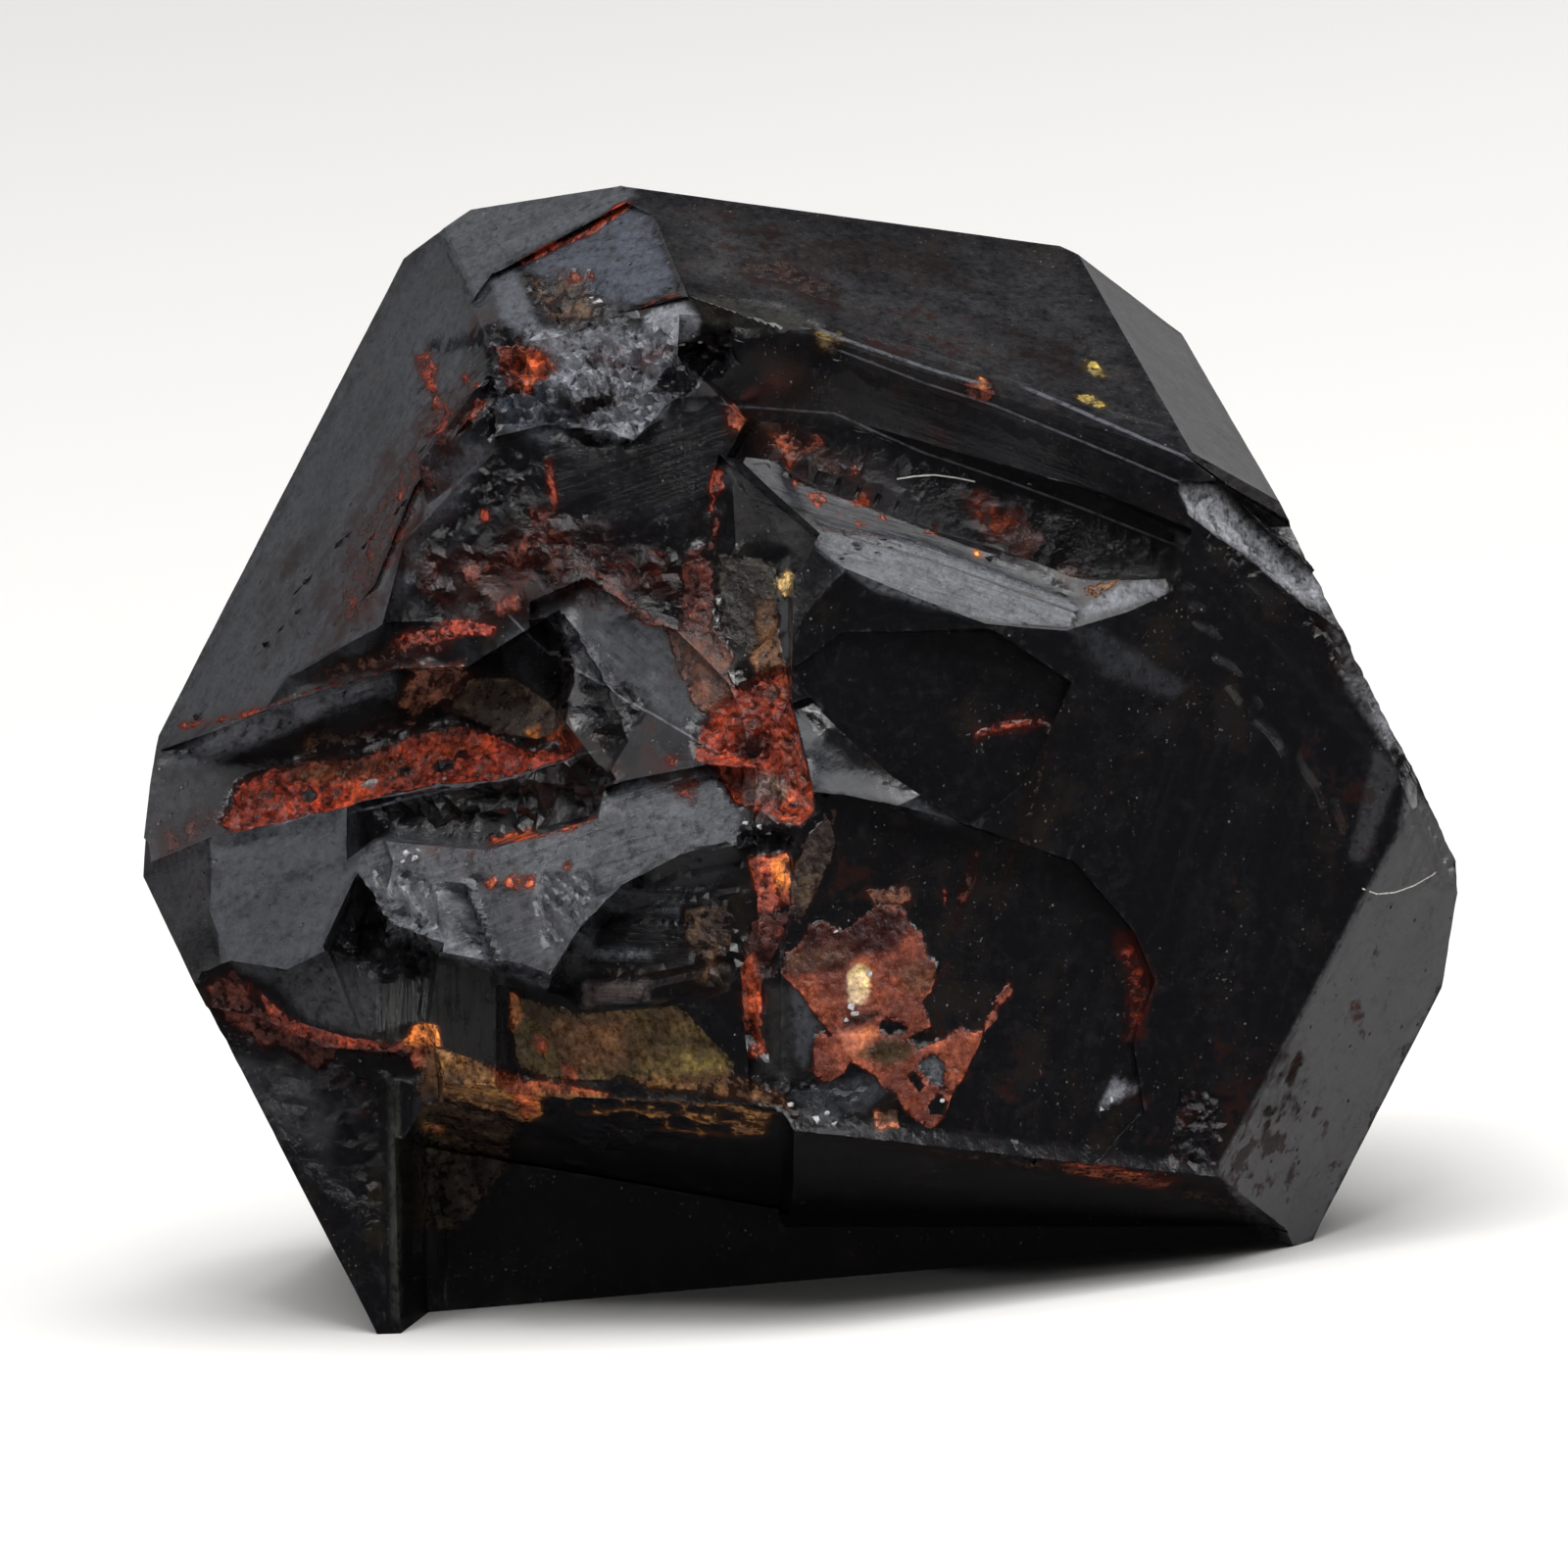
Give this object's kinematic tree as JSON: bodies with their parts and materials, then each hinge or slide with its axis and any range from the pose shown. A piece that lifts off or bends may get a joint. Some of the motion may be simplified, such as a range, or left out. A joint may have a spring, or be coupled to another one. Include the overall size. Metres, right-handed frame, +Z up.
{
  "type": "garnet crystal",
  "caption": "Loose black garnet crystal: a blocky dodecahedron with bevelled edges, its front broken into ledges, hollows and a left-hand cleft, standing on its broken base.",
  "frame": {"origin": "under the middle of the crystal's bounding box, at the level of the flat base it stands on", "axes": "+Z up, the broken side facing -Y, +X to the right seen from the broken side"},
  "size_m": [0.01, 0.0076, 0.0084],
  "materials": {
    "garnet": "glossy black crystal with rust-red and mustard stains in its breaks"
  },
  "bodies": {
    "root": {"crystal": "garnet"}
  },
  "joints": []
}
